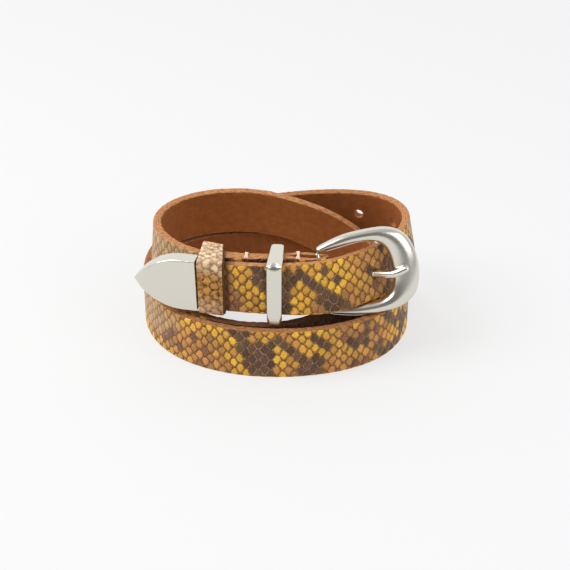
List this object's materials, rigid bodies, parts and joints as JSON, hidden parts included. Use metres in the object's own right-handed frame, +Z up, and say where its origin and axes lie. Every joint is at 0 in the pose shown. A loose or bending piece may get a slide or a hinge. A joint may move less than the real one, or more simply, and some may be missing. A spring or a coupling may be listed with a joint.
{
  "type": "snake print belt",
  "caption": "Narrow leather belt with a snakeskin print, western buckle, two keepers and a metal tip, buckled and wound into a standing coil.",
  "frame": {"origin": "under the middle of the belt's box, on the surface that the coil stands on", "axes": "+Z up, the strap's width; the buckle faces -Y, and +X runs from the metal tip to the buckle's rim"},
  "size_m": [0.1068, 0.0856, 0.0509],
  "materials": {
    "print_leather": "snake print with a low sheen",
    "pale_leather": "pale snake print with a low sheen",
    "nickel": "satin nickel plate"
  },
  "bodies": {
    "root": {"strap": "print_leather", "buckle_frame": "nickel", "buckle_tongue": "nickel", "metal_keeper": "nickel", "leather_keeper": "pale_leather", "metal_tip": "nickel"}
  },
  "joints": []
}
